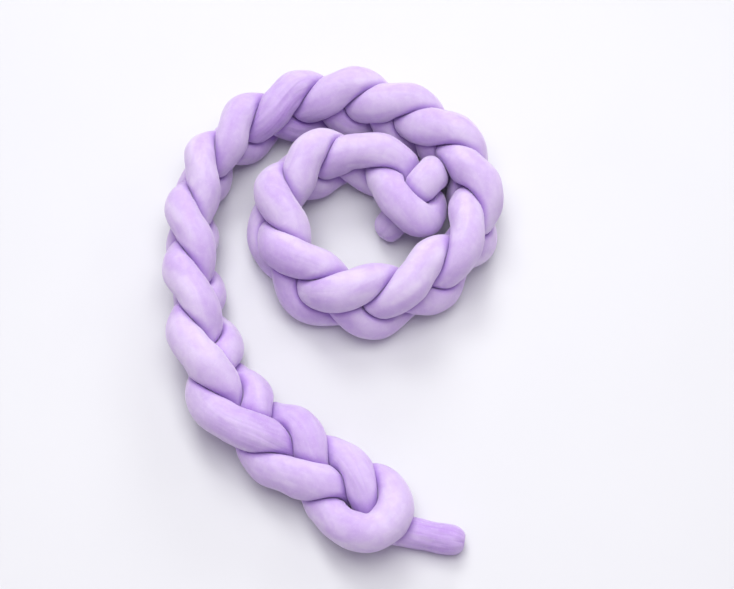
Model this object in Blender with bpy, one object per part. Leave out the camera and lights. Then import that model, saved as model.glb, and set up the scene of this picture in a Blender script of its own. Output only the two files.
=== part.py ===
"""Crib bumper: one stuffed velvet tube, plaited with itself and laid down as a spiral.

Lengths are in metres and +Z is up. The origin lies on the floor, below the
middle of the bumper's outline. The tube starts at the free tail, runs inward
as one strand of the plait, turns back, runs outward as the next strand, turns
in the end loop and runs inward again as the last strand, to its free tip.
"""
import math
from typing import NamedTuple

import bmesh
import bpy
import numpy as np

# Tube and plait sizes
TUBE_RADIUS = 0.0275
STRANDS = 3
PATH_HALF_WIDTH = 0.039
PATH_HALF_DEPTH = 0.015

# How the soft tube meets the floor and its own turns
SEAT_SHARE = 0.85
CONTACT_GAP = 0.002
CONTACT_REACH = 0.066
CONTACT_BLEND = 0.010
FLOOR_BLEND = 0.0015
OWN_LENGTH = 0.12
SWELL_LIMIT = 1.12
SWELL_ROUNDS = 5

# Closed ends and mesh spacing
END_ROUND = 0.022
STEP = 0.005
SMOOTH_PASSES = 14
STEPS_PER_RING = 4
RING_SIDES = 12

# Where each strand keeps to the plait's rule, in crossings
STRAND_STEP = 0.2
TAIL_STRAND = (2, 0.65, 19.75)
RETURN_STRAND = (1, 18.2, 0.3)
TIP_STRAND = (0, 0.75, 18.2)

VELVET = (0.63, 0.50, 0.78, 1.0)
VELVET_ROUGHNESS = 0.95


class Crossing(NamedTuple):
    """One crossing of the plait: place of its middle, lean, skew and fullness."""

    number: int
    x: float
    y: float
    roll: float
    skew: float
    girth: float


class Point(NamedTuple):
    """One point of the tube's middle where it leaves the plait's rule."""

    x: float
    y: float
    z: float
    girth: float


# The middle line of the plait, from the loop end to the inner end of the spiral
PLAIT_LINE = (
    Crossing(-2, 0.198, -0.429, 0, 0, 1.00),
    Crossing(-1, 0.110, -0.370, 0, 0, 1.00),
    Crossing(0, 0.033, -0.315, 0, 6, 1.00),
    Crossing(1, -0.053, -0.248, 10, 12, 1.00),
    Crossing(2, -0.139, -0.183, 33, 15, 1.00),
    Crossing(3, -0.190, -0.090, 55, 11, 1.00),
    Crossing(4, -0.214, 0.007, 79, 4, 0.95),
    Crossing(5, -0.226, 0.107, 90, 0, 0.92),
    Crossing(6, -0.214, 0.208, 94, 0, 0.89),
    Crossing(7, -0.163, 0.287, 93, 0, 0.92),
    Crossing(8, -0.082, 0.338, 88, 0, 0.98),
    Crossing(9, 0.010, 0.354, 86, 0, 1.00),
    Crossing(10, 0.097, 0.331, 87, 0, 1.00),
    Crossing(11, 0.173, 0.279, 87, 0, 1.00),
    Crossing(12, 0.219, 0.200, 90, 0, 0.98),
    Crossing(13, 0.208, 0.103, 93, 0, 0.93),
    Crossing(14, 0.134, 0.024, 99, 0, 0.98),
    Crossing(15, 0.038, -0.006, 102, 0, 1.00),
    Crossing(16, -0.052, 0.039, 102, 0, 1.00),
    Crossing(17, -0.093, 0.137, 100, 0, 1.00),
    Crossing(18, -0.052, 0.226, 96, 0, 1.00),
    Crossing(19, 0.053, 0.245, 102, 0, 1.00),
    Crossing(20, 0.122, 0.174, 125, 0, 1.00),
    Crossing(21, 0.141, 0.087, 140, 0, 1.00),
    Crossing(22, 0.132, -0.001, 150, 0, 1.00),
)

# The free tail, from its closed end to where it enters the plait
TAIL = (
    Point(0.195, -0.374, 0.020, 0.80),
    Point(0.177, -0.371, 0.020, 0.80),
    Point(0.155, -0.367, 0.020, 0.80),
    Point(0.132, -0.363, 0.020, 0.81),
    Point(0.109, -0.358, 0.021, 0.84),
    Point(0.083, -0.349, 0.023, 0.89),
    Point(0.060, -0.334, 0.031, 0.95),
    Point(0.049, -0.314, 0.044, 0.98),
    Point(0.038, -0.289, 0.052, 1.00),
)

# The turn at the inner end, from the tail's strand to the returning strand
INNER_TURN = (
    Point(0.094, 0.162, 0.093, 1.00),
    Point(0.108, 0.141, 0.097, 1.00),
    Point(0.125, 0.126, 0.087, 0.98),
    Point(0.141, 0.129, 0.072, 0.95),
    Point(0.150, 0.148, 0.059, 0.92),
    Point(0.149, 0.170, 0.052, 0.92),
    Point(0.140, 0.190, 0.049, 0.95),
    Point(0.127, 0.206, 0.053, 0.97),
    Point(0.114, 0.218, 0.064, 1.00),
    Point(0.101, 0.226, 0.078, 1.00),
    Point(0.088, 0.233, 0.092, 1.00),
    Point(0.071, 0.240, 0.099, 1.00),
    Point(0.050, 0.240, 0.101, 1.00),
    Point(0.030, 0.240, 0.098, 1.00),
    Point(0.011, 0.240, 0.090, 1.00),
    Point(-0.007, 0.238, 0.077, 1.00),
)

# The loop round the tail at the open end of the spiral
END_LOOP = (
    Point(0.021, -0.290, 0.030, 1.00),
    Point(0.049, -0.286, 0.031, 1.00),
    Point(0.073, -0.293, 0.037, 1.00),
    Point(0.089, -0.320, 0.048, 1.00),
    Point(0.081, -0.356, 0.059, 1.00),
    Point(0.053, -0.375, 0.066, 1.00),
    Point(0.027, -0.368, 0.060, 1.00),
    Point(0.005, -0.348, 0.045, 1.00),
    Point(-0.012, -0.316, 0.030, 1.00),
)

# The last stretch, over the inner turn and down to the free tip
TIP = (
    Point(-0.023, 0.254, 0.091, 1.00),
    Point(-0.006, 0.255, 0.077, 1.00),
    Point(0.011, 0.251, 0.061, 1.00),
    Point(0.031, 0.244, 0.046, 1.00),
    Point(0.054, 0.234, 0.033, 1.00),
    Point(0.079, 0.226, 0.025, 1.00),
    Point(0.104, 0.223, 0.023, 1.00),
    Point(0.128, 0.225, 0.026, 0.97),
    Point(0.147, 0.225, 0.039, 0.95),
    Point(0.156, 0.219, 0.062, 0.93),
    Point(0.153, 0.205, 0.087, 0.93),
    Point(0.143, 0.186, 0.101, 0.94),
    Point(0.129, 0.174, 0.087, 0.95),
    Point(0.117, 0.168, 0.063, 0.95),
    Point(0.104, 0.161, 0.042, 0.94),
    Point(0.092, 0.149, 0.030, 0.92),
    Point(0.081, 0.136, 0.025, 0.90),
    Point(0.071, 0.125, 0.024, 0.88),
)


def natural_spline(knots, values):
    """Return a function that gives the natural cubic spline through the values."""
    knots = np.asarray(knots, float)
    values = np.asarray(values, float)
    count = len(knots)
    width = np.diff(knots)
    matrix = np.zeros((count, count))
    target = np.zeros((count, values.shape[1]))
    matrix[0, 0] = matrix[-1, -1] = 1.0
    for i in range(1, count - 1):
        matrix[i, i - 1:i + 2] = width[i - 1], 2.0 * (width[i - 1] + width[i]), width[i]
        rise = (values[i + 1] - values[i]) / width[i] - (values[i] - values[i - 1]) / width[i - 1]
        target[i] = 6.0 * rise
    bend = np.linalg.solve(matrix, target)

    def at(where):
        where = np.atleast_1d(np.asarray(where, float))
        i = np.clip(np.searchsorted(knots, where) - 1, 0, count - 2)
        after = (knots[i + 1] - where)[:, None]
        before = (where - knots[i])[:, None]
        span = width[i][:, None]
        curve = (bend[i] * after ** 3 + bend[i + 1] * before ** 3) / (6.0 * span)
        start = (values[i] / span - bend[i] * span / 6.0) * after
        finish = (values[i + 1] / span - bend[i + 1] * span / 6.0) * before
        return curve + start + finish

    return at


def unit(vectors):
    """Scale each row to length one."""
    return vectors / np.linalg.norm(vectors, axis=1)[:, None]


def strand_points(strand, first, last):
    """Points of one strand between two crossings, with the tube's fullness."""
    at = natural_spline([row.number for row in PLAIT_LINE], [row[1:] for row in PLAIT_LINE])
    where = np.arange(first, last, math.copysign(STRAND_STEP, last - first))
    row = at(where)
    slope = at(where + 0.1 * STRAND_STEP) - at(where - 0.1 * STRAND_STEP)
    ahead = unit(np.column_stack((slope[:, :2], np.zeros(len(where)))))
    left = np.column_stack((-ahead[:, 1], ahead[:, 0], ahead[:, 2]))
    roll = np.radians(row[:, 2])[:, None]
    skew = np.radians(row[:, 3])[:, None]
    girth = row[:, 4:5]
    up = np.array((0.0, 0.0, 1.0))
    side = left * np.cos(skew) + ahead * np.sin(skew)
    across = side * np.cos(roll) + up * np.sin(roll)
    through = up * np.cos(roll) - side * np.sin(roll)

    # The lowest strand at each place decides how high the plait's middle stands
    phases = np.radians(np.arange(0, 360, 5))
    drop = PATH_HALF_WIDTH * np.sin(phases) * np.sin(roll) + PATH_HALF_DEPTH * np.sin(2.0 * phases) * np.cos(roll)
    height = TUBE_RADIUS * SEAT_SHARE * girth - drop.min(axis=1)[:, None]
    middle = np.column_stack((row[:, :2], height))

    turn = 2.0 * math.pi * (where - strand)[:, None] / STRANDS + 0.5 * math.pi
    path = middle + PATH_HALF_WIDTH * np.sin(turn) * across + PATH_HALF_DEPTH * np.sin(2.0 * turn) * through
    return np.column_stack((path, girth))


def tube_line():
    """The middle of the whole tube at even steps, and its fullness at each."""
    rows = np.vstack((
        np.array(TAIL),
        strand_points(*TAIL_STRAND),
        np.array(INNER_TURN),
        strand_points(*RETURN_STRAND),
        np.array(END_LOOP),
        strand_points(*TIP_STRAND),
        np.array(TIP),
    ))
    along = np.concatenate(([0.0], np.cumsum(np.linalg.norm(np.diff(rows[:, :3], axis=0), axis=1))))
    fine = natural_spline(along, rows)(np.linspace(0.0, along[-1], 8 * len(rows)))
    length = np.concatenate(([0.0], np.cumsum(np.linalg.norm(np.diff(fine[:, :3], axis=0), axis=1))))
    even = np.linspace(0.0, length[-1], int(round(length[-1] / STEP)) + 1)
    line = np.column_stack([np.interp(even, length, column) for column in fine.T])
    for _ in range(SMOOTH_PASSES):
        line[1:-1] = 0.25 * line[:-2] + 0.5 * line[1:-1] + 0.25 * line[2:]
    return line[:, :3], line[:, 3]


def cross_axes(line):
    """Two directions across the tube at each step, carried along without twist."""
    ahead = unit(np.gradient(line, axis=0))
    first = np.zeros_like(line)
    carried = np.array((0.0, 0.0, 1.0))
    for i, direction in enumerate(ahead):
        carried = carried - carried @ direction * direction
        carried = carried / np.linalg.norm(carried)
        first[i] = carried
    return first, np.cross(ahead, first)


def soft_min(first, second, blend):
    """The smaller of two lengths, rounded where they are close."""
    share = np.clip(0.5 + 0.5 * (second - first) / blend, 0.0, 1.0)
    return second * (1.0 - share) + first * share - blend * share * (1.0 - share)


def free_lengths(line, girth, rings, spokes):
    """How far each spoke of each ring reaches before another turn or the floor."""
    steps = np.arange(len(line))
    wall = np.full(spokes.shape[:2], 1.0)
    floor = np.full(spokes.shape[:2], 1.0)
    for row, ring in enumerate(rings):
        offset = line - line[ring]
        distance = np.linalg.norm(offset, axis=1)
        other = (distance < CONTACT_REACH) & (np.abs(steps - ring) * STEP > OWN_LENGTH)
        if other.any():
            reach = distance[other] * girth[ring] / (girth[ring] + girth[other]) - 0.5 * CONTACT_GAP
            toward = spokes[row] @ (offset[other] / distance[other][:, None]).T
            wall[row] = np.where(toward > 0.001, reach / np.maximum(toward, 0.001), 1.0).min(axis=1)
        down = -spokes[row][:, 2]
        floor[row] = np.where(down > 0.001, line[ring, 2] / np.maximum(down, 0.001), 1.0)
    return wall, floor


def tube_rings():
    """The corner points of every ring round the tube, and the two end points."""
    line, girth = tube_line()
    first, second = cross_axes(line)
    last = len(line) - 1
    rings = np.array([1, 2] + list(range(STEPS_PER_RING, last - 2, STEPS_PER_RING)) + [last - 2, last - 1])
    angles = (np.arange(RING_SIDES) + 0.5) * 2.0 * math.pi / RING_SIDES
    spokes = np.cos(angles)[:, None] * first[rings][:, None] + np.sin(angles)[:, None] * second[rings][:, None]
    wall, floor = free_lengths(line, girth, rings, spokes)

    # A pressed ring swells until its cover is as long round as on a free tube
    full = TUBE_RADIUS * girth[rings]
    radius = full.copy()
    corner = np.stack((np.cos(angles), np.sin(angles)), axis=1)
    for _ in range(SWELL_ROUNDS):
        reach = soft_min(soft_min(radius[:, None], wall, CONTACT_BLEND), floor, FLOOR_BLEND)
        outline = reach[..., None] * corner
        cover = np.linalg.norm(np.roll(outline, -1, axis=1) - outline, axis=2).sum(axis=1)
        free = 2.0 * RING_SIDES * math.sin(math.pi / RING_SIDES) * full
        radius = np.minimum(radius * free / cover, SWELL_LIMIT * full)

    # Both ends are closed like a half ellipse
    from_end = np.minimum(rings, last - rings) * STEP / END_ROUND
    closing = np.sqrt(1.0 - (1.0 - np.minimum(from_end, 1.0)) ** 2)
    reach = soft_min(soft_min((radius * closing)[:, None], wall, CONTACT_BLEND), floor, FLOOR_BLEND)
    return line[rings][:, None] + reach[..., None] * spokes, line[0], line[-1]


def velvet_material():
    """Lilac velvet of the cover."""
    material = bpy.data.materials.new("lilac_velvet")
    material.use_nodes = True
    shader = material.node_tree.nodes["Principled BSDF"]
    shader.inputs["Base Color"].default_value = VELVET
    shader.inputs["Roughness"].default_value = VELVET_ROUGHNESS
    shader.inputs["Metallic"].default_value = 0.0
    material.diffuse_color = VELVET
    return material


def plaited_tube():
    """The whole stuffed tube as one closed body."""
    rings, start, finish = tube_rings()
    shape = bmesh.new()
    corners = [[shape.verts.new(place) for place in ring] for ring in rings]
    for near, far in zip(corners, corners[1:]):
        for i in range(RING_SIDES):
            j = (i + 1) % RING_SIDES
            shape.faces.new((near[i], near[j], far[j], far[i]))
    for place, ring in ((start, corners[0]), (finish, corners[-1])):
        pole = shape.verts.new(place)
        for i in range(RING_SIDES):
            shape.faces.new((pole, ring[i], ring[(i + 1) % RING_SIDES]))
    bmesh.ops.recalc_face_normals(shape, faces=shape.faces)
    mesh = bpy.data.meshes.new("plaited_tube")
    shape.to_mesh(mesh)
    shape.free()
    mesh.shade_smooth()
    mesh.materials.append(velvet_material())
    tube = bpy.data.objects.new("plaited_tube", mesh)
    bpy.context.scene.collection.objects.link(tube)
    return tube


def main():
    """Clear the scene and build the bumper."""
    for old in list(bpy.data.objects):
        bpy.data.objects.remove(old, do_unlink=True)
    plaited_tube()


if __name__ == "__main__":
    main()
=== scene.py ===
"""Crib bumper: one stuffed velvet tube, plaited with itself and laid down as a spiral.

Lengths are in metres and +Z is up. The origin lies on the floor, below the middle
of the bumper's outline. The tube starts at the free tail, runs inward as one strand
of the plait, turns back, runs outward as the next strand, turns in the end loop and
runs inward again as the last strand, to its free tip. It follows the same route as
its plain solid, at a finer pitch, with the folds, gathers and pile of its cover.
"""
import logging
import math
from dataclasses import dataclass, field
from enum import Enum
from typing import NamedTuple, Optional, Sequence, Union

import bpy
import numpy as np
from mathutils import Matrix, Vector


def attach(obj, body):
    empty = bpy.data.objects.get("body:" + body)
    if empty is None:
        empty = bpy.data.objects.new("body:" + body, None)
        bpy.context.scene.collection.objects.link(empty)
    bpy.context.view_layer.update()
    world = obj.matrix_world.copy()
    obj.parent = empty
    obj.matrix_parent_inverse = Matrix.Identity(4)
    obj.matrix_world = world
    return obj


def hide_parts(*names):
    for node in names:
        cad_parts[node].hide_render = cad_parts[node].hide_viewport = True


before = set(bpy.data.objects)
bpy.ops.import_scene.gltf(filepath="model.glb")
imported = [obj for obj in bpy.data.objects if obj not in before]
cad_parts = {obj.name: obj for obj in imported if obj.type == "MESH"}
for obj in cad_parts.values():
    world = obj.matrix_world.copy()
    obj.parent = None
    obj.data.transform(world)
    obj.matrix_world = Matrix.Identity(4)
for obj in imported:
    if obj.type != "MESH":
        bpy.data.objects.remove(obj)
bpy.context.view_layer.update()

log = logging.getLogger("crib_bumper")

Rows = np.ndarray
Triple = tuple[float, float, float]
Colour = tuple[float, float, float, float]
Socket = bpy.types.NodeSocket
Number = Union[float, Socket]

FULL_TURN = 2.0 * math.pi
QUARTER_TURN = 0.5 * math.pi
UP = (0.0, 0.0, 1.0)
CLOUD_MIDDLE = 0.5

CAD_NODE = "plaited_tube"
CAD_BODY = "root"
COVER_SLOT = "lilac_velvet"
TUBE_NAME = "velvet_tube"
# The pressed mask paints shade near contacts, pulled sets folds and painted shade, squeezed sets gathers
COVER_VALUES = ("pressed", "pulled", "squeezed")

PICTURE_WIDTH = 734
SENSOR_WIDTH = 36.0


class Crossing(NamedTuple):
    """One crossing of the plait: place of its middle, lean, skew and fullness."""

    number: int
    x: float
    y: float
    roll: float
    skew: float = 0.0
    girth: float = 1.0


class Waypoint(NamedTuple):
    """One point of the tube's middle where it leaves the plait's rule."""

    x: float
    y: float
    z: float
    girth: float = 1.0


def waypoints(*rows: Sequence[float]) -> tuple[Waypoint, ...]:
    """Waypoints of one stretch, from their places and fullness."""
    return tuple(Waypoint(*row) for row in rows)


class Spot(NamedTuple):
    """A round patch in plan where the cover is pulled into lengthwise folds."""

    x: float
    y: float
    reach: float
    strength: float


class Run(NamedTuple):
    """The stretch over which one strand keeps to the plait's rule, in crossings."""

    strand: int
    first: float
    last: float


# The middle line of the plait, from the loop end to the inner end of the spiral
PLAIT_LINE = (
    Crossing(-2, 0.198, -0.429, 0),
    Crossing(-1, 0.110, -0.370, 0),
    Crossing(0, 0.033, -0.315, 0, 6),
    Crossing(1, -0.053, -0.248, 10, 12),
    Crossing(2, -0.139, -0.183, 33, 15),
    Crossing(3, -0.190, -0.090, 55, 11),
    Crossing(4, -0.214, 0.007, 79, 4, 0.95),
    Crossing(5, -0.226, 0.107, 90, 0, 0.92),
    Crossing(6, -0.214, 0.208, 94, 0, 0.89),
    Crossing(7, -0.163, 0.287, 93, 0, 0.92),
    Crossing(8, -0.082, 0.338, 88, 0, 0.98),
    Crossing(9, 0.010, 0.354, 86),
    Crossing(10, 0.097, 0.331, 87),
    Crossing(11, 0.173, 0.279, 87),
    Crossing(12, 0.219, 0.200, 90, 0, 0.98),
    Crossing(13, 0.208, 0.103, 93, 0, 0.93),
    Crossing(14, 0.134, 0.024, 99, 0, 0.98),
    Crossing(15, 0.038, -0.006, 102),
    Crossing(16, -0.052, 0.039, 102),
    Crossing(17, -0.093, 0.137, 100),
    Crossing(18, -0.052, 0.226, 96),
    Crossing(19, 0.053, 0.245, 102),
    Crossing(20, 0.122, 0.174, 125),
    Crossing(21, 0.141, 0.087, 140),
    Crossing(22, 0.132, -0.001, 150),
)

TAIL_RUN = Run(2, 0.65, 19.75)
RETURN_RUN = Run(1, 18.2, 0.3)
TIP_RUN = Run(0, 0.75, 18.2)

# The free tail, from its closed end to where it enters the plait
TAIL = waypoints(
    (0.195, -0.374, 0.020, 0.80),
    (0.177, -0.371, 0.020, 0.80),
    (0.155, -0.367, 0.020, 0.80),
    (0.132, -0.363, 0.020, 0.81),
    (0.109, -0.358, 0.021, 0.84),
    (0.083, -0.349, 0.023, 0.89),
    (0.060, -0.334, 0.031, 0.95),
    (0.049, -0.314, 0.044, 0.98),
    (0.038, -0.289, 0.052),
)

# The turn at the inner end, from the tail's strand to the returning strand
INNER_TURN = waypoints(
    (0.094, 0.162, 0.093),
    (0.108, 0.141, 0.097),
    (0.125, 0.126, 0.087, 0.98),
    (0.141, 0.129, 0.072, 0.95),
    (0.150, 0.148, 0.059, 0.92),
    (0.149, 0.170, 0.052, 0.92),
    (0.140, 0.190, 0.049, 0.95),
    (0.127, 0.206, 0.053, 0.97),
    (0.114, 0.218, 0.064),
    (0.101, 0.226, 0.078),
    (0.088, 0.233, 0.092),
    (0.071, 0.240, 0.099),
    (0.050, 0.240, 0.101),
    (0.030, 0.240, 0.098),
    (0.011, 0.240, 0.090),
    (-0.007, 0.238, 0.077),
)

# The loop round the tail at the open end of the spiral
END_LOOP = waypoints(
    (0.021, -0.290, 0.030),
    (0.049, -0.286, 0.031),
    (0.073, -0.293, 0.037),
    (0.089, -0.320, 0.048),
    (0.081, -0.356, 0.059),
    (0.053, -0.375, 0.066),
    (0.027, -0.368, 0.060),
    (0.005, -0.348, 0.045),
    (-0.012, -0.316, 0.030),
)

# The last stretch, over the inner turn and down to the free tip
TIP = waypoints(
    (-0.023, 0.254, 0.091),
    (-0.006, 0.255, 0.077),
    (0.011, 0.251, 0.061),
    (0.031, 0.244, 0.046),
    (0.054, 0.234, 0.033),
    (0.079, 0.226, 0.025),
    (0.104, 0.223, 0.023),
    (0.128, 0.225, 0.026, 0.97),
    (0.147, 0.225, 0.039, 0.95),
    (0.156, 0.219, 0.062, 0.93),
    (0.153, 0.205, 0.087, 0.93),
    (0.143, 0.186, 0.101, 0.94),
    (0.129, 0.174, 0.087, 0.95),
    (0.117, 0.168, 0.063, 0.95),
    (0.104, 0.161, 0.042, 0.94),
    (0.092, 0.149, 0.030, 0.92),
    (0.081, 0.136, 0.025, 0.90),
    (0.071, 0.125, 0.024, 0.88),
)

# Where the cover is pulled tight enough to show lengthwise folds, and where its colour is darkened as painted
# shade, most on the tail
PULLED_SPOTS = (
    Spot(-0.085, 0.320, 0.045, 0.85),
    Spot(-0.110, -0.215, 0.050, 0.60),
    Spot(0.032, -0.300, 0.035, 0.60),
    Spot(-0.030, -0.215, 0.035, 0.50),
    Spot(0.160, -0.365, 0.045, 1.00),
    Spot(-0.030, 0.020, 0.045, 0.35),
)


def put_in_scene(name: str, data: bpy.types.ID) -> bpy.types.Object:
    """Make an object of a mesh, lamp or camera and link it to the scene.

    Args:
        name: The object's name.
        data: What it is made of.

    Returns:
        The new object.
    """
    made = bpy.data.objects.new(name, data)
    bpy.context.scene.collection.objects.link(made)
    return made


def unit(vectors: Rows) -> Rows:
    """Scale each row to length one."""
    return vectors / np.linalg.norm(vectors, axis=-1, keepdims=True)


def length_before(points: Rows) -> Rows:
    """Length of a line before each of its points."""
    return np.concatenate(([0.0], np.cumsum(np.linalg.norm(np.diff(points, axis=0), axis=1))))


def soft_min(first: Rows, second: Rows, blend: float) -> Rows:
    """Give the smaller of two lengths, rounded where they are close.

    Args:
        first: One length for each place.
        second: The other length for each place.
        blend: How close the two are where the rounding starts.

    Returns:
        The rounded smaller length for each place.
    """
    share = np.clip(0.5 + 0.5 * (second - first) / blend, 0.0, 1.0)
    return second * (1.0 - share) + first * share - blend * share * (1.0 - share)


class NaturalSpline:
    """A natural cubic spline through rows of values."""

    def __init__(self, knots: Sequence[float], values: Sequence[Sequence[float]]) -> None:
        """Solve for the bend at each knot.

        Args:
            knots: Rising places of the rows.
            values: One row of values for each knot.
        """
        self.knots = np.asarray(knots, float)
        self.values = np.asarray(values, float)
        self.width = np.diff(self.knots)
        count = len(self.knots)
        matrix = np.zeros((count, count))
        target = np.zeros((count, self.values.shape[1]))
        matrix[0, 0] = matrix[-1, -1] = 1.0
        slope = np.diff(self.values, axis=0) / self.width[:, None]
        for i in range(1, count - 1):
            before, after = self.width[i - 1], self.width[i]
            matrix[i, i - 1:i + 2] = before, 2.0 * (before + after), after
            target[i] = 6.0 * (slope[i] - slope[i - 1])
        self.bend = np.linalg.solve(matrix, target)

    def at(self, where: Union[float, Rows]) -> Rows:
        """Give one row of values for each place asked for.

        Args:
            where: Places between the first and the last knot.

        Returns:
            The values there, one row for each place.
        """
        where = np.atleast_1d(np.asarray(where, float))
        i = np.clip(np.searchsorted(self.knots, where) - 1, 0, len(self.knots) - 2)
        after = (self.knots[i + 1] - where)[:, None]
        before = (where - self.knots[i])[:, None]
        span = self.width[i][:, None]
        curve = (self.bend[i] * after ** 3 + self.bend[i + 1] * before ** 3) / (6.0 * span)
        start = (self.values[i] / span - self.bend[i] * span / 6.0) * after
        finish = (self.values[i + 1] / span - self.bend[i + 1] * span / 6.0) * before
        return curve + start + finish


@dataclass(frozen=True)
class TubeLine:
    """The middle of the whole tube at even steps.

    Attributes:
        along: Length of tube before each step.
        middle: Place of the tube's middle at each step.
        girth: Fullness of the tube at each step.
        first: A direction across the tube, carried along without twist.
        second: The direction across the tube that is square to the first.
        bend: Direction and tightness of the tube's bend at each step.
    """

    along: Rows
    middle: Rows
    girth: Rows
    first: Rows
    second: Rows
    bend: Rows

    @classmethod
    def through(cls, middle: Rows, girth: Rows, step: float) -> "TubeLine":
        """Work out the directions across a line of even steps.

        Args:
            middle: Place of the tube's middle at each step.
            girth: Fullness of the tube at each step.
            step: Distance from one step to the next.

        Returns:
            The line with its directions and bends.
        """
        ahead = unit(np.gradient(middle, axis=0))
        first = np.zeros_like(middle)
        carried = np.array(UP)
        for i, direction in enumerate(ahead):
            carried = carried - carried @ direction * direction
            carried = carried / np.linalg.norm(carried)
            first[i] = carried
        bend = np.gradient(ahead, step, axis=0)
        return cls(np.arange(len(middle)) * step, middle, girth, first, np.cross(ahead, first), bend)

    @property
    def length(self) -> float:
        """Length of the whole tube."""
        return float(self.along[-1])

    def at(self, stations: Rows) -> "TubeLine":
        """Give the line at chosen distances from its start.

        Args:
            stations: Distances along the tube.

        Returns:
            The line at those distances alone.
        """
        first = unit(self.between(self.first, stations))
        second = self.between(self.second, stations)
        second = unit(second - (second * first).sum(axis=1, keepdims=True) * first)
        girth = np.interp(stations, self.along, self.girth)
        middle = self.between(self.middle, stations)
        return TubeLine(stations, middle, girth, first, second, self.between(self.bend, stations))

    def between(self, values: Rows, stations: Rows) -> Rows:
        """Rows of values at chosen distances from the line's start."""
        return np.column_stack([np.interp(stations, self.along, column) for column in values.T])


@dataclass(frozen=True)
class PlaitRoute:
    """The route of the tube's middle through the plait and its two turns.

    Attributes:
        seat_share: Height of the lowest strand's middle, as a share of its radius.
        strand_step: Step along a strand, in crossings.
        slope_share: Share of that step over which the plait's direction is read.
        phase_step: Degrees between the places where a strand's height is compared.
        fine_steps: Fine steps for each row of the route, before it is made even.
    """

    tube_radius: float = 0.0275
    strands: int = 3
    half_width: float = 0.039
    half_depth: float = 0.015
    seat_share: float = 0.85
    strand_step: float = 0.2
    slope_share: float = 0.1
    phase_step: int = 5
    fine_steps: int = 8
    step: float = 0.005
    smooth_passes: int = 14

    def lowest_strand(self, roll: Rows) -> Rows:
        """Find how low the lowest strand hangs at each lean of the plait.

        Args:
            roll: Lean of the plait, one for each step.

        Returns:
            The height above the plait's middle, as a negative number.
        """
        phases = np.radians(np.arange(0, 360, self.phase_step))
        across = self.half_width * np.sin(phases) * np.sin(roll)
        through = self.half_depth * np.sin(2.0 * phases) * np.cos(roll)
        return (across + through).min(axis=1)[:, None]

    def strand_points(self, run: Run) -> Rows:
        """Lay one strand between two crossings of the plait.

        Args:
            run: The strand and its first and last crossing.

        Returns:
            Rows of x, y, z and fullness along the strand.
        """
        plait = NaturalSpline([row.number for row in PLAIT_LINE], [row[1:] for row in PLAIT_LINE])
        where = np.arange(run.first, run.last, math.copysign(self.strand_step, run.last - run.first))
        row = plait.at(where)
        nudge = self.slope_share * self.strand_step
        slope = plait.at(where + nudge) - plait.at(where - nudge)
        ahead = unit(np.column_stack((slope[:, :2], np.zeros(len(where)))))
        left = np.column_stack((-ahead[:, 1], ahead[:, 0], ahead[:, 2]))
        roll = np.radians(row[:, 2])[:, None]
        skew = np.radians(row[:, 3])[:, None]
        girth = row[:, 4:5]
        up = np.array(UP)
        side = left * np.cos(skew) + ahead * np.sin(skew)
        across = side * np.cos(roll) + up * np.sin(roll)
        through = up * np.cos(roll) - side * np.sin(roll)
        height = self.tube_radius * self.seat_share * girth - self.lowest_strand(roll)
        middle = np.column_stack((row[:, :2], height))
        turn = FULL_TURN * (where - run.strand)[:, None] / self.strands + QUARTER_TURN
        sideways = self.half_width * np.sin(turn) * across
        over = self.half_depth * np.sin(2.0 * turn) * through
        return np.column_stack((middle + sideways + over, girth))

    def line(self) -> TubeLine:
        """Lay the whole tube from its tail to its tip.

        Returns:
            The tube's middle at even steps, smoothed as the stuffing smooths it.
        """
        rows = np.vstack((
            np.array(TAIL),
            self.strand_points(TAIL_RUN),
            np.array(INNER_TURN),
            self.strand_points(RETURN_RUN),
            np.array(END_LOOP),
            self.strand_points(TIP_RUN),
            np.array(TIP),
        ))
        along = length_before(rows[:, :3])
        fine = NaturalSpline(along, rows).at(np.linspace(0.0, along[-1], self.fine_steps * len(rows)))
        length = length_before(fine[:, :3])
        even = np.linspace(0.0, length[-1], int(round(length[-1] / self.step)) + 1)
        rows = np.column_stack([np.interp(even, length, column) for column in fine.T])
        for _ in range(self.smooth_passes):
            rows[1:-1] = 0.25 * rows[:-2] + 0.5 * rows[1:-1] + 0.25 * rows[2:]
        return TubeLine.through(rows[:, :3], rows[:, 3], self.step)


@dataclass(frozen=True)
class UnevenStuffing:
    """Slow swells and hollows of the stuffing, as high as a few waves of the full depth."""

    seed: int = 11
    waves: int = 48
    shortest: float = 0.035
    longest: float = 0.150
    most_round: int = 4
    depth: float = 0.00045
    full_waves: float = 4.0

    def height(self, along: Rows, angle: Rows) -> Rows:
        """Rise of the cover over its even round.

        Args:
            along: Distance along the tube, one for each ring.
            angle: Angle round the tube, one for each spoke.

        Returns:
            The rise at each spoke of each ring.
        """
        draw = np.random.default_rng(self.seed)
        rise = np.zeros((len(along), len(angle)))
        for _ in range(self.waves):
            length = draw.uniform(self.shortest, self.longest)
            lobes = int(draw.integers(0, self.most_round + 1))
            phase, turn = draw.uniform(0.0, FULL_TURN, 2)
            wave = np.cos(FULL_TURN * along / length + phase)[:, None]
            rise += wave * np.cos(lobes * angle + turn)[None, :]
        return self.depth * rise * math.sqrt(self.full_waves / self.waves)


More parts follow.
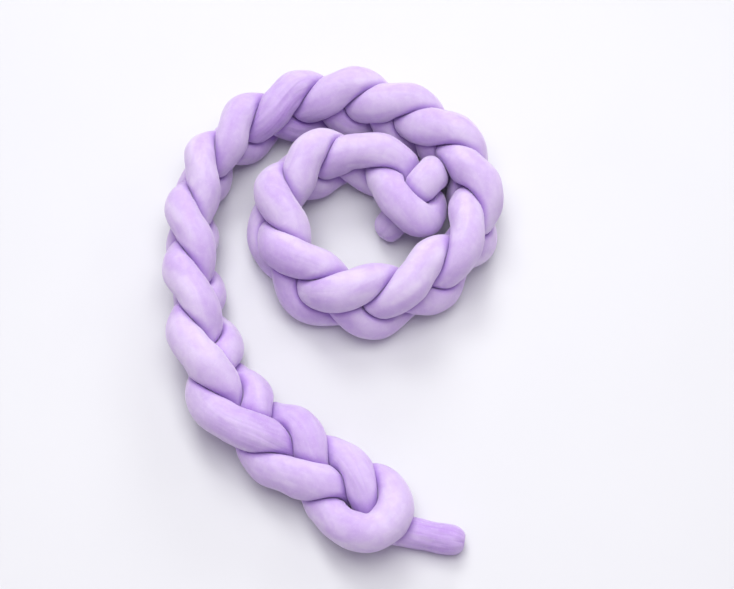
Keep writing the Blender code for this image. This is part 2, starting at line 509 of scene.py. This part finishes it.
@dataclass(frozen=True)
class StretchFolds:
    """Lengthwise folds where the cover is pulled between two crossings.

    Attributes:
        families: Number of folds round the tube in each set.
        everywhere: Pull away from the spots.
        wander: How far the folds turn round the tube, in waves of the wander lengths.
        gate_waves: Length and lobes of each wave that lets folds start and stop.
    """

    spots: tuple[Spot, ...] = PULLED_SPOTS
    seed: int = 5
    families: tuple[int, ...] = (7, 10, 13)
    everywhere: float = 0.05
    wander: float = 0.9
    wander_lengths: tuple[float, ...] = (0.21, 0.33, 0.47)
    gate_waves: tuple[tuple[float, int], ...] = ((0.075, 2), (0.11, 3), (0.16, 1), (0.09, 4))
    depth: float = 0.0010
    sharpness: int = 4

    def pull(self, middle: Rows) -> Rows:
        """How hard the cover is pulled at each ring, from none to full.

        Args:
            middle: Place of the middle of each ring.

        Returns:
            The pull at each ring.
        """
        most = np.full(len(middle), self.everywhere)
        for spot in self.spots:
            away = np.hypot(middle[:, 0] - spot.x, middle[:, 1] - spot.y) / spot.reach
            most = np.maximum(most, spot.strength * np.exp(-0.5 * away ** 2))
        return most

    def height(self, along: Rows, angle: Rows, pull: Rows) -> Rows:
        """Drop of the cover into its folds, as a negative rise.

        Args:
            along: Distance along the tube, one for each ring.
            angle: Angle round the tube, one for each spoke.
            pull: Pull on the cover, one for each ring.

        Returns:
            The rise at each spoke of each ring.
        """
        draw = np.random.default_rng(self.seed)
        drop = np.zeros((len(along), len(angle)))
        for folds in self.families:
            drift = np.zeros(len(along))
            gate = np.zeros((len(along), len(angle)))
            for length in self.wander_lengths:
                drift += self.wander * np.sin(FULL_TURN * along / length + draw.uniform(0.0, FULL_TURN))
            for length, lobes in self.gate_waves:
                phase, turn = draw.uniform(0.0, FULL_TURN, 2)
                wave = np.cos(FULL_TURN * along / length + phase)[:, None]
                gate += wave * np.cos(lobes * angle + turn)[None, :]
            valley = (0.5 + 0.5 * np.cos(folds * angle[None, :] + drift[:, None])) ** self.sharpness
            drop += valley * np.clip(gate, 0.0, 1.0)
        return -self.depth * pull[:, None] * drop


@dataclass(frozen=True)
class ClosedEnd:
    """The rounded, gathered end of the tube.

    Attributes:
        bluntness: Two for a round end, and more for a blunt one.
        fine_pleats: Gathers of a finer set that breaks up the first.
        pleat_reach: Length of the gathers as a share of the rounding.
    """

    rounding: float = 0.024
    bluntness: float = 2.2
    dimple: float = 0.004
    dimple_share: float = 0.30
    pleats: int = 9
    fine_pleats: int = 13
    fine_pleat_share: float = 0.4
    fine_pleat_phase: float = 1.0
    pleat_depth: float = 0.045
    pleat_reach: float = 1.6
    pleat_fade: float = 1.5
    rings: int = 11

    def turns(self) -> Rows:
        """Angle of each ring of the rounding, from the pole to the full tube."""
        return np.linspace(0.0, QUARTER_TURN, self.rings + 1)[1:]

    def stations(self) -> Rows:
        """Distance of each ring of the rounding from the tube's end."""
        return self.rounding * (1.0 - np.cos(self.turns()))

    def closing(self, from_end: Rows) -> Rows:
        """Share of the full radius at each distance from the tube's end."""
        left = 1.0 - np.clip(from_end / self.rounding, 0.0, 1.0)
        return (1.0 - left ** self.bluntness) ** (1.0 / self.bluntness)

    def pleating(self, from_end: Rows, angle: Rows) -> Rows:
        """Work out by which share the gathers change the radius.

        Args:
            from_end: Distance of each ring from the tube's end.
            angle: Angle of each spoke.

        Returns:
            The share at each spoke of each ring.
        """
        fade = np.clip(1.0 - from_end / (self.pleat_reach * self.rounding), 0.0, 1.0) ** self.pleat_fade
        fine = np.cos(self.fine_pleats * angle + self.fine_pleat_phase)
        wave = np.cos(self.pleats * angle) + self.fine_pleat_share * fine
        return self.pleat_depth * fade[:, None] * wave

    def sink(self, closing: Rows) -> Rows:
        """How far each ring is drawn into the tube at the gathered middle."""
        return self.dimple * np.exp(-(closing / self.dimple_share) ** 2)


@dataclass
class StuffedTube:
    """The velvet tube with its closed ends, pressed against its own turns.

    Attributes:
        contact_reach: How far away a turn can be and still press.
        own_length: Length of tube on each side that can't press a ring.
        least_facing: How nearly a spoke has to face a turn before that stops it.
        crease_shade_reach: How far from a contact with the floor and other turns the painted crease shade
            reaches.
        squeeze_start: Bend inside which the cover starts to gather.
    """

    route: PlaitRoute = field(default_factory=PlaitRoute)
    stuffing: UnevenStuffing = field(default_factory=UnevenStuffing)
    folds: StretchFolds = field(default_factory=StretchFolds)
    tail_end: ClosedEnd = field(default_factory=ClosedEnd)
    tip_end: ClosedEnd = field(default_factory=lambda: ClosedEnd(rounding=0.025, bluntness=2.0, dimple=0.006))
    sides: int = 60
    contact_gap: float = 0.0004
    contact_reach: float = 0.066
    contact_blend: float = 0.011
    floor_blend: float = 0.003
    own_length: float = 0.12
    least_facing: float = 0.001
    unstopped: float = 1.0
    swell_limit: float = 1.12
    swell_rounds: int = 5
    crease_shade_reach: float = 0.018
    squeeze_start: float = 0.30
    squeeze_full: float = 0.75

    def stations(self, line: TubeLine) -> Rows:
        """Distances along the tube of all its rings.

        Args:
            line: The tube's middle.

        Returns:
            Rising distances, close together round both ends.
        """
        start = self.tail_end.stations()
        finish = line.length - self.tip_end.stations()[::-1]
        count = int(round((finish[0] - start[-1]) / self.route.step))
        return np.concatenate((start, np.linspace(start[-1], finish[0], count + 1)[1:-1], finish))

    def free_lengths(self, line: TubeLine, rings: TubeLine, spokes: Rows) -> tuple[Rows, Rows]:
        """How far each spoke of each ring reaches before another turn or the floor.

        Args:
            line: The whole tube's middle.
            rings: The middle of each ring.
            spokes: Direction of each spoke of each ring.

        Returns:
            The lengths before another turn, and the lengths before the floor.
        """
        wall = np.full(spokes.shape[:2], self.unstopped)
        floor = np.full(spokes.shape[:2], self.unstopped)
        for row, (place, girth, along) in enumerate(zip(rings.middle, rings.girth, rings.along)):
            offset = line.middle - place
            distance = np.linalg.norm(offset, axis=1)
            other = (distance < self.contact_reach) & (np.abs(line.along - along) > self.own_length)
            if other.any():
                share = girth / (girth + line.girth[other])
                reach = distance[other] * share - 0.5 * self.contact_gap
                toward = spokes[row] @ (offset[other] / distance[other][:, None]).T
                wall[row] = self.stopped(reach, toward).min(axis=1)
            floor[row] = self.stopped(place[2], -spokes[row][:, 2])
        return wall, floor

    def stopped(self, reach: Union[float, Rows], toward: Rows) -> Rows:
        """Length at which a plane stops each spoke, from how nearly the spoke faces it."""
        length = reach / np.maximum(toward, self.least_facing)
        return np.where(toward > self.least_facing, length, self.unstopped)

    def pressed(self, free: Rows, wall: Rows, floor: Rows) -> Rows:
        """Keep the cover's free reach inside the other turns and the floor."""
        return soft_min(soft_min(free, wall, self.contact_blend), floor, self.floor_blend)

    def swollen_radius(self, full: Rows, wall: Rows, floor: Rows, angle: Rows) -> Rows:
        """Swell each pressed ring until its cover is as long round as on a free tube.

        Args:
            full: Radius of each ring on a free tube.
            wall: Length of each spoke before another turn.
            floor: Length of each spoke before the floor.
            angle: Angle of each spoke.

        Returns:
            The radius of each ring where nothing presses it.
        """
        corner = np.stack((np.cos(angle), np.sin(angle)), axis=1)
        radius = full.copy()
        for _ in range(self.swell_rounds):
            outline = self.pressed(radius[:, None], wall, floor)[..., None] * corner
            cover = np.linalg.norm(np.roll(outline, -1, axis=1) - outline, axis=2).sum(axis=1)
            free = 2.0 * self.sides * math.sin(math.pi / self.sides) * full
            radius = np.minimum(radius * free / cover, self.swell_limit * full)
        return radius

    def surface(self) -> dict[str, Rows]:
        """Work out the cover's points and how it is pressed, pulled and squeezed.

        Returns:
            The ring points, both poles and one value of each kind for each ring point.
        """
        line = self.route.line()
        rings = line.at(self.stations(line))
        angle = np.arange(self.sides) * FULL_TURN / self.sides
        cosine, sine = np.cos(angle), np.sin(angle)
        spokes = cosine[:, None] * rings.first[:, None] + sine[:, None] * rings.second[:, None]
        wall, floor = self.free_lengths(line, rings, spokes)
        radius = self.swollen_radius(self.route.tube_radius * rings.girth, wall, floor, angle)

        pull = self.folds.pull(rings.middle)
        rise = self.stuffing.height(rings.along, angle) + self.folds.height(rings.along, angle, pull)
        from_tail, from_tip = rings.along, line.length - rings.along
        closing = self.tail_end.closing(from_tail) * self.tip_end.closing(from_tip)
        pleating = self.tail_end.pleating(from_tail, angle) + self.tip_end.pleating(from_tip, angle)
        free = (radius[:, None] * (1.0 + pleating) + rise) * closing[:, None]
        reach = self.pressed(free, wall, floor)

        ahead = np.cross(rings.first, rings.second)
        near_tail = from_tail < 0.5 * line.length
        sink = np.where(near_tail, self.tail_end.sink(closing), -self.tip_end.sink(closing))
        points = rings.middle[:, None] + reach[..., None] * spokes + (sink[:, None] * ahead)[:, None]

        inside = (spokes * rings.bend[:, None]).sum(axis=2) * self.route.tube_radius
        squeeze = np.clip((inside - self.squeeze_start) / (self.squeeze_full - self.squeeze_start), 0.0, 1.0)
        # Nearness to a contact, kept only as the mask for painted crease shade
        crease_shade_mask = np.clip(1.0 - (np.minimum(wall, floor) - reach) / self.crease_shade_reach, 0.0, 1.0)
        cover = np.stack(np.broadcast_arrays(
            self.route.tube_radius * cosine[None, :],
            self.route.tube_radius * sine[None, :],
            rings.along[:, None],
        ), axis=2)
        return {
            "points": points,
            "start": line.middle[0] + self.tail_end.dimple * ahead[0],
            "finish": line.middle[-1] - self.tip_end.dimple * ahead[-1],
            # Painted shade near contacts, where the other turns and the floor meet the cover
            "pressed": crease_shade_mask ** 2,
            # The pull sets the folds and also painted shade on the cover
            "pulled": np.broadcast_to(pull[:, None], crease_shade_mask.shape),
            "squeezed": squeeze,
            "cover": cover,
        }

    def faces(self, rings: int) -> list[tuple[int, ...]]:
        """List the cover's faces.

        Args:
            rings: Number of rings along the tube.

        Returns:
            Corner numbers of each face, with the two poles after all ring corners.
        """
        corner = np.arange(rings * self.sides).reshape(rings, self.sides)
        turned = np.roll(corner, -1, axis=1)
        quads = np.stack((corner[:-1], turned[:-1], turned[1:], corner[1:]), axis=2).reshape(-1, 4)
        start, finish = rings * self.sides, rings * self.sides + 1
        first = [(start, b, a) for a, b in zip(corner[0], turned[0])]
        last = [(finish, a, b) for a, b in zip(corner[-1], turned[-1])]
        return [tuple(map(int, face)) for face in [*quads.tolist(), *first, *last]]

    def build(self, finish: "VelvetFinish") -> bpy.types.Object:
        """Make the tube, dress it and set it in the frame.

        Args:
            finish: The cover's velvet.

        Returns:
            The finished tube.
        """
        shape = self.surface()
        corners = np.vstack((shape["points"].reshape(-1, 3), shape["start"], shape["finish"]))
        mesh = bpy.data.meshes.new(TUBE_NAME)
        mesh.from_pydata(corners.tolist(), [], self.faces(len(shape["points"])))
        mesh.update()
        for name in COVER_VALUES:
            values = np.append(shape[name].reshape(-1), (0.0, 0.0))
            mesh.attributes.new(name, "FLOAT", "POINT").data.foreach_set("value", values.astype(np.float32))
        ends = np.array(((0.0, 0.0, 0.0), (0.0, 0.0, shape["cover"][-1, 0, 2])))
        places = np.vstack((shape["cover"].reshape(-1, 3), ends)).astype(np.float32)
        mesh.attributes.new("cover", "FLOAT_VECTOR", "POINT").data.foreach_set("vector", places.ravel())
        mesh.shade_smooth()
        mesh.materials.append(finish.material())
        tube = put_in_scene(TUBE_NAME, mesh)
        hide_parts(CAD_NODE)
        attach(tube, CAD_BODY)
        return tube


class Bench:
    """Adds nodes to one tree and joins them up."""

    def __init__(self, tree: bpy.types.NodeTree) -> None:
        """Start on an existing tree."""
        self.tree = tree

    @classmethod
    def on_material(cls, name: str) -> tuple[bpy.types.Material, "Bench"]:
        """Make a material and start on its tree.

        Args:
            name: The material's name.

        Returns:
            The material and the bench.
        """
        material = bpy.data.materials.new(name)
        material.use_nodes = True
        return material, cls(material.node_tree)

    def feed_shader(self, values: dict[str, Union[Number, Sequence[float]]]) -> None:
        """Feed the named inputs of the material's shader."""
        for name, value in values.items():
            self.feed(self.tree.nodes["Principled BSDF"].inputs[name], value)

    def feed(self, socket: Socket, value: Union[Number, Sequence[float]]) -> None:
        """Join a socket to another one, or set its own value.

        Args:
            socket: The input to feed.
            value: A value for it, or the output to join it to.
        """
        if isinstance(value, bpy.types.NodeSocket):
            self.tree.links.new(value, socket)
        else:
            socket.default_value = value

    def node(self, kind: str, values: Optional[dict] = None, **settings: object) -> bpy.types.Node:
        """Add one node.

        Args:
            kind: Blender's name for the kind of node, without its first word.
            values: Value or socket for each named or numbered input.
            settings: The node's own settings.

        Returns:
            The new node.
        """
        made = self.tree.nodes.new("ShaderNode" + kind)
        for name, value in settings.items():
            setattr(made, name, value)
        for name, value in (values or {}).items():
            self.feed(made.inputs[name], value)
        return made

    def math(self, operation: str, *values: Number) -> Socket:
        """Combine numbers."""
        return self.node("Math", dict(enumerate(values)), operation=operation).outputs[0]

    def scaled(self, vector: Socket, scale: Sequence[float]) -> Socket:
        """Scale a place along its three directions."""
        return self.node("VectorMath", {0: vector, 1: scale}, operation="MULTIPLY").outputs[0]

    def noise(self, place: Socket, scale: Number, **values: float) -> Socket:
        """Cloudy values from none to one, with the noise's other values by name."""
        return self.node("TexNoise", {"Vector": place, "Scale": scale, **values}).outputs["Fac"]

    def ramp(self, value: Socket, low: Number, high: Number, first: float = 0.0, last: float = 1.0) -> Socket:
        """Stretch a band of values smoothly over another band."""
        values = {"Value": value, "From Min": low, "From Max": high, "To Min": first, "To Max": last}
        return self.node("MapRange", values, interpolation_type="SMOOTHSTEP").outputs["Result"]

    def mixed(self, first: Socket, second: Socket, share: float) -> Socket:
        """Add a share of the second number to what is left of the first."""
        rest = self.math("MULTIPLY", first, 1.0 - share)
        return self.math("ADD", rest, self.math("MULTIPLY", second, share))

    def tint(self, share: Number, first: Union[Colour, Socket], second: Union[Colour, Socket]) -> Socket:
        """Mix two colours.

        Args:
            share: Share of the second colour.
            first: The first colour.
            second: The second colour.

        Returns:
            The mixed colour.
        """
        made = self.node("Mix", data_type="RGBA")
        self.feed(made.inputs["Factor"], share)
        self.feed(next(s for s in made.inputs if s.name == "A" and s.type == "RGBA"), first)
        self.feed(next(s for s in made.inputs if s.name == "B" and s.type == "RGBA"), second)
        return next(s for s in made.outputs if s.type == "RGBA")


class SocketKind(Enum):
    """Kinds of socket that an effect's group takes and gives."""

    NUMBER = "NodeSocketFloat"
    VECTOR = "NodeSocketVector"


class SurfaceEffect:
    """A surface effect kept as one node group that any finish can place."""

    name: str = ""
    takes: tuple[tuple[str, SocketKind, float], ...] = ()
    gives: tuple[str, ...] = ()

    def draw(self, bench: Bench, given: dict[str, Socket]) -> dict[str, Socket]:
        """Draw the effect inside its group.

        Args:
            bench: The group's bench.
            given: The group's inputs by name.

        Returns:
            The socket for each of the group's outputs.
        """
        raise NotImplementedError

    def group(self) -> bpy.types.NodeTree:
        """Give the effect's group, made on first use.

        Returns:
            The group, the same one for each material.
        """
        found = bpy.data.node_groups.get(self.name)
        if found is not None:
            return found
        tree = bpy.data.node_groups.new(self.name, "ShaderNodeTree")
        for name, kind, start in self.takes:
            socket = tree.interface.new_socket(name=name, in_out="INPUT", socket_type=kind.value)
            if kind is SocketKind.NUMBER:
                socket.default_value = start
        for name in self.gives:
            tree.interface.new_socket(name=name, in_out="OUTPUT", socket_type=SocketKind.NUMBER.value)
        source = tree.nodes.new("NodeGroupInput")
        target = tree.nodes.new("NodeGroupOutput")
        bench = Bench(tree)
        given = {name: source.outputs[name] for name, _, _ in self.takes}
        for name, socket in self.draw(bench, given).items():
            bench.feed(target.inputs[name], socket)
        return tree

    def place(self, bench: Bench, **values: Number) -> dict[str, Socket]:
        """Place the effect in a material.

        Args:
            bench: The material's bench.
            values: Value or socket for each input, with underscores for spaces.

        Returns:
            The effect's outputs by name.
        """
        made = bench.node("Group", node_tree=self.group())
        for name, value in values.items():
            bench.feed(made.inputs[name.replace("_", " ")], value)
        return {name: made.outputs[name] for name in self.gives}


class BrushedPatches(SurfaceEffect):
    """Large soft patches, lighter where the surface was last brushed one way."""

    name = "brushed_patches"
    takes = (
        ("Place", SocketKind.VECTOR, 0.0),
        ("Patches per Metre", SocketKind.NUMBER, 20.0),
        ("Softness", SocketKind.NUMBER, 0.2),
    )
    gives = ("Patch",)
    clouds: dict[str, float] = {"Detail": 3.0, "Distortion": 0.6}

    def draw(self, bench: Bench, given: dict[str, Socket]) -> dict[str, Socket]:
        """Draw clouds with edges as soft as asked for.

        Args:
            bench: The group's bench.
            given: The group's inputs by name.

        Returns:
            The patches.
        """
        clouds = bench.noise(given["Place"], given["Patches per Metre"], **self.clouds)
        low = bench.math("SUBTRACT", CLOUD_MIDDLE, given["Softness"])
        high = bench.math("ADD", CLOUD_MIDDLE, given["Softness"])
        return {"Patch": bench.ramp(clouds, low, high)}


class ShortPile(SurfaceEffect):
    """Short dense fibres: a fine uneven height and scattered light tips."""

    name = "short_pile"
    takes = (
        ("Place", SocketKind.VECTOR, 0.0),
        ("Fibres per Metre", SocketKind.NUMBER, 900.0),
    )
    gives = ("Height", "Light Tips")
    fibres: dict[str, float] = {"Detail": 2.0, "Roughness": 0.6}
    clumps: dict[str, float] = {"Detail": 3.0}
    clumps_per_fibre: float = 0.3
    clump_share: float = 0.55
    tip_heights: tuple[float, float] = (0.52, 0.68)

    def draw(self, bench: Bench, given: dict[str, Socket]) -> dict[str, Socket]:
        """Draw fine grain over clumps of fibres.

        Args:
            bench: The group's bench.
            given: The group's inputs by name.

        Returns:
            The height of the pile and its light tips.
        """
        fine = bench.noise(given["Place"], given["Fibres per Metre"], **self.fibres)
        per_metre = bench.math("MULTIPLY", given["Fibres per Metre"], self.clumps_per_fibre)
        clumps = bench.noise(given["Place"], per_metre, **self.clumps)
        height = bench.mixed(fine, clumps, self.clump_share)
        return {"Height": height, "Light Tips": bench.ramp(height, *self.tip_heights)}


class Valleys(NamedTuple):
    """Lines of one size: clouds per metre round and along the tube, and share of them in a line."""

    per_metre: Triple
    width: float


class PulledCover(SurfaceEffect):
    """Thin lengthwise folds where the cover is pulled, and short gathers inside a bend."""

    name = "pulled_cover"
    takes = (
        ("Cover Place", SocketKind.VECTOR, 0.0),
        ("Pull", SocketKind.NUMBER, 0.0),
        ("Squeeze", SocketKind.NUMBER, 0.0),
    )
    gives = ("Height", "Valley")
    clouds: dict[str, float] = {"Detail": 1.5, "Roughness": 0.45}
    folds = Valleys((62.0, 62.0, 9.0), 0.11)
    hairlines = Valleys((150.0, 150.0, 14.0), 0.13)
    gathers = Valleys((40.0, 40.0, 190.0), 0.09)
    hairline_share: float = 0.35

    def lines(self, bench: Bench, place: Socket, valleys: Valleys) -> Socket:
        """Draw thin lines where stretched clouds pass their middle value.

        Args:
            bench: The group's bench.
            place: Place on the cover.
            valleys: Size of the lines.

        Returns:
            One in the middle of a line and none away from it.
        """
        clouds = bench.noise(bench.scaled(place, valleys.per_metre), 1.0, **self.clouds)
        away = bench.math("ABSOLUTE", bench.math("SUBTRACT", clouds, CLOUD_MIDDLE))
        return bench.ramp(away, 0.0, valleys.width, 1.0, 0.0)

    def draw(self, bench: Bench, given: dict[str, Socket]) -> dict[str, Socket]:
        """Draw the folds and the gathers, each as strong as its own input.

        Args:
            bench: The group's bench.
            given: The group's inputs by name.

        Returns:
            The height of the cover and its valleys.
        """
        place = given["Cover Place"]
        folds, hairlines, gathers = (
            self.lines(bench, place, valleys) for valleys in (self.folds, self.hairlines, self.gathers)
        )
        thin = bench.math("MULTIPLY", hairlines, self.hairline_share)
        pulled = bench.math("MULTIPLY", bench.math("ADD", folds, thin), given["Pull"])
        squeezed = bench.math("MULTIPLY", gathers, given["Squeeze"])
        valley = bench.math("MINIMUM", bench.math("ADD", pulled, squeezed), 1.0)
        return {"Height": bench.math("SUBTRACT", 1.0, valley), "Valley": valley}


@dataclass(frozen=True)
class VelvetFinish:
    """Matt lilac velvet with a soft sheen on its short pile.

    Attributes:
        lying: Colour where the pile lies flat.
        painted_shade: Painted shade colour, taken on near contacts, in fold valleys and at pulled spots by
            the three shares.
        drawn_out: How the wide patches follow the tube round and along.
        scatter: Share of the light that scatters in the pile.
    """

    name: str = COVER_SLOT
    lying: Colour = (0.540, 0.395, 0.705, 1.0)
    brushed: Colour = (0.700, 0.612, 0.795, 1.0)
    tips: Colour = (0.780, 0.650, 0.900, 1.0)
    # Painted shade: a deep violet that stands in for shade, not a colour the velvet has under any lamp
    painted_shade: Colour = (0.345, 0.145, 0.620, 1.0)
    # Share of painted shade near contacts
    crease_shade_share: float = 0.60
    # Painted shade down in the fold and gather valleys
    valley_shade_share: float = 0.14
    # Painted shade at pulled spots, most on the tail
    pull_shade_share: float = 0.34
    tip_share: float = 0.22
    drawn_out: Triple = (1.0, 1.0, 0.45)
    wide_patches: tuple[float, float] = (28.0, 0.20)
    small_patches: tuple[float, float] = (70.0, 0.24)
    small_share: float = 0.3
    fibres_per_metre: float = 850.0
    roughness: float = 0.92
    roughness_rise: float = 0.06
    rough_heights: tuple[float, float] = (0.2, 0.8)
    sheen: float = 0.50
    sheen_roughness: float = 0.45
    sheen_tint: Colour = (0.95, 0.88, 1.0, 1.0)
    specular: float = 0.12
    scatter: float = 0.22
    scatter_radius: Triple = (1.0, 0.62, 1.15)
    scatter_depth: float = 0.010
    pile_bump: float = 0.35
    pile_depth: float = 0.0010
    fold_bump: float = 0.4
    fold_depth: float = 0.0016

    def patches(self, bench: Bench, place: Socket, cover: Socket) -> Socket:
        """Place wide patches that follow the tube, with small ones over them.

        Args:
            bench: The material's bench.
            place: Place in the tube's own frame.
            cover: Place on the cover.

        Returns:
            Where the pile is brushed light.
        """
        wide, small = (
            BrushedPatches().place(bench, Place=where, Patches_per_Metre=count, Softness=softness)["Patch"]
            for where, (count, softness) in (
                (bench.scaled(cover, self.drawn_out), self.wide_patches),
                (place, self.small_patches),
            )
        )
        return bench.mixed(wide, small, self.small_share)

    def relief(self, bench: Bench, folds: Socket, pile: Socket) -> Socket:
        """Lay the pile's relief over the folds'.

        Args:
            bench: The material's bench.
            folds: Height of the folds.
            pile: Height of the pile.

        Returns:
            The normal of the cover.
        """
        coarse = {"Strength": self.fold_bump, "Distance": self.fold_depth, "Height": folds}
        fine = {"Strength": self.pile_bump, "Distance": self.pile_depth, "Height": pile}
        fine["Normal"] = bench.node("Bump", coarse).outputs["Normal"]
        return bench.node("Bump", fine).outputs["Normal"]

    def material(self) -> bpy.types.Material:
        """Make the velvet.

        Returns:
            The cover's material.
        """
        material, bench = Bench.on_material(self.name)
        place = bench.node("TexCoord").outputs["Object"]
        cover = bench.node("Attribute", attribute_name="cover").outputs["Vector"]
        pressed, pulled, squeezed = (
            bench.node("Attribute", attribute_name=name).outputs["Fac"] for name in COVER_VALUES
        )
        pile = ShortPile().place(bench, Place=place, Fibres_per_Metre=self.fibres_per_metre)
        folds = PulledCover().place(bench, Cover_Place=cover, Pull=pulled, Squeeze=squeezed)

        colour = bench.tint(self.patches(bench, place, cover), self.lying, self.brushed)
        # Painted shade: the colour is drawn towards the shade colour at pulled spots, in fold valleys and
        # near contacts
        for where, share, tint in (
            (pulled, self.pull_shade_share, self.painted_shade),
            (pile["Light Tips"], self.tip_share, self.tips),
            (folds["Valley"], self.valley_shade_share, self.painted_shade),
            (pressed, self.crease_shade_share, self.painted_shade),
        ):
            colour = bench.tint(bench.math("MULTIPLY", where, share), colour, tint)
        most_rough = self.roughness + self.roughness_rise
        bench.feed_shader({
            "Base Color": colour,
            "Roughness": bench.ramp(pile["Height"], *self.rough_heights, self.roughness, most_rough),
            "Normal": self.relief(bench, folds["Height"], pile["Height"]),
            "Sheen Weight": self.sheen,
            "Sheen Roughness": self.sheen_roughness,
            "Sheen Tint": self.sheen_tint,
            "Specular IOR Level": self.specular,
            "Subsurface Weight": self.scatter,
            "Subsurface Radius": self.scatter_radius,
            "Subsurface Scale": self.scatter_depth,
        })
        return material


@dataclass(frozen=True)
class FloorFinish:
    """Plain pale floor, a trace cooler than white."""

    name: str = "pale_floor"
    light: Colour = (0.728, 0.748, 0.752, 1.0)
    dull: Colour = (0.716, 0.736, 0.742, 1.0)
    patches_per_metre: float = 2.5
    softness: float = 0.3
    roughness: float = 0.9
    specular: float = 0.0

    def material(self) -> bpy.types.Material:
        """Make the floor's matt surface.

        Returns:
            The floor's material.
        """
        material, bench = Bench.on_material(self.name)
        place = bench.node("TexCoord").outputs["Object"]
        patch = BrushedPatches().place(
            bench, Place=place, Patches_per_Metre=self.patches_per_metre, Softness=self.softness
        )["Patch"]
        bench.feed_shader({
            "Base Color": bench.tint(patch, self.light, self.dull),
            "Roughness": self.roughness,
            "Specular IOR Level": self.specular,
        })
        return material


class LampRole(Enum):
    """What each lamp does for the picture."""

    KEY = "key_lamp"
    TOP = "top_lamp"
    BACK = "back_lamp"
    SIDE = "side_lamp"


@dataclass(frozen=True)
class Lamp:
    """One large soft lamp that looks at the middle of the bumper."""

    role: LampRole
    place: Triple
    width: float
    power: float
    colour: Triple = (1.0, 1.0, 1.0)

    def build(self, aim: Vector) -> bpy.types.Object:
        """Hang the lamp and turn it to what it lights.

        Args:
            aim: The place that it lights.

        Returns:
            The lamp.
        """
        light = bpy.data.lights.new(self.role.value, "AREA")
        light.shape = "DISK"
        light.size = self.width
        light.energy = self.power
        light.color = self.colour
        lamp = put_in_scene(self.role.value, light)
        lamp.location = self.place
        lamp.rotation_euler = (aim - Vector(self.place)).to_track_quat("-Z", "Y").to_euler()
        return lamp


@dataclass
class Studio:
    """Floor, lamps and camera round the bumper.

    Attributes:
        floor_drop: How far the floor lies below the lowest cover.
        wall_strength: Strength of it where the camera sees the room itself.
    """

    finish: FloorFinish = field(default_factory=FloorFinish)
    floor_width: float = 12.0
    floor_drop: float = 0.0003
    aim: Triple = (0.0502, 0.0120, 0.05)
    elevation: float = 65.0
    distance: float = 2.4
    focal_pixels: float = 1548.4
    clip: tuple[float, float] = (0.05, 50.0)
    ambient: Colour = (0.91, 0.80, 1.0, 1.0)
    ambient_strength: float = 0.41
    wall_strength: float = 1.0
    lamps: tuple[Lamp, ...] = (
        Lamp(LampRole.TOP, (0.0, 0.0, 3.25), 2.5, 70.0, (1.0, 1.0, 0.98)),
        Lamp(LampRole.KEY, (-0.950, 3.546, 5.292), 2.4, 128.0, (1.0, 1.0, 0.98)),
        Lamp(LampRole.BACK, (1.502, 5.602, 2.754), 2.2, 90.0),
        Lamp(LampRole.SIDE, (4.736, 1.270, 4.164), 2.0, 18.0),
    )

    def floor(self) -> bpy.types.Object:
        """Lay the floor.

        Returns:
            The floor.
        """
        half = 0.5 * self.floor_width
        outline = ((-half, -half), (half, -half), (half, half), (-half, half))
        corners = [(x, y, -self.floor_drop) for x, y in outline]
        mesh = bpy.data.meshes.new("floor")
        mesh.from_pydata(corners, [], [(0, 1, 2, 3)])
        mesh.materials.append(self.finish.material())
        floor = put_in_scene("floor", mesh)
        return floor

    def light(self) -> list[bpy.types.Object]:
        """Hang the lamps and set the light of the room.

        Returns:
            The lamps.
        """
        world = bpy.data.worlds.new("pale_room")
        world.use_nodes = True
        bench = Bench(world.node_tree)
        room = world.node_tree.nodes["Background"]
        room.inputs["Color"].default_value = self.ambient
        seen = bench.node("LightPath").outputs["Is Camera Ray"]
        strength = bench.ramp(seen, 0.0, 1.0, self.ambient_strength, self.wall_strength)
        bench.feed(room.inputs["Strength"], strength)
        bpy.context.scene.world = world
        return [lamp.build(Vector(self.aim)) for lamp in self.lamps]

    def camera(self) -> bpy.types.Object:
        """Set the camera above and in front of the bumper.

        Returns:
            The scene's camera.
        """
        lens = bpy.data.cameras.new("camera")
        lens.sensor_width = SENSOR_WIDTH
        lens.lens = SENSOR_WIDTH * self.focal_pixels / PICTURE_WIDTH
        lens.clip_start, lens.clip_end = self.clip
        camera = put_in_scene("camera", lens)
        tilt = math.radians(self.elevation)
        back = Vector((0.0, -math.cos(tilt), math.sin(tilt)))
        camera.location = Vector(self.aim) + self.distance * back
        camera.rotation_euler = (QUARTER_TURN - tilt, 0.0, 0.0)
        bpy.context.scene.camera = camera
        return camera


def main() -> None:
    """Build the studio and the bumper."""
    logging.basicConfig(level=logging.INFO, format="%(name)s: %(message)s")
    bpy.context.scene.view_settings.view_transform = "Standard"
    studio = Studio()
    for built in (studio.camera(), studio.floor(), *studio.light()):
        log.info("%s set", built.name)
    tube = StuffedTube().build(VelvetFinish())
    log.info("%s built with %d faces", tube.name, len(tube.data.polygons))


if __name__ == "__main__":
    main()
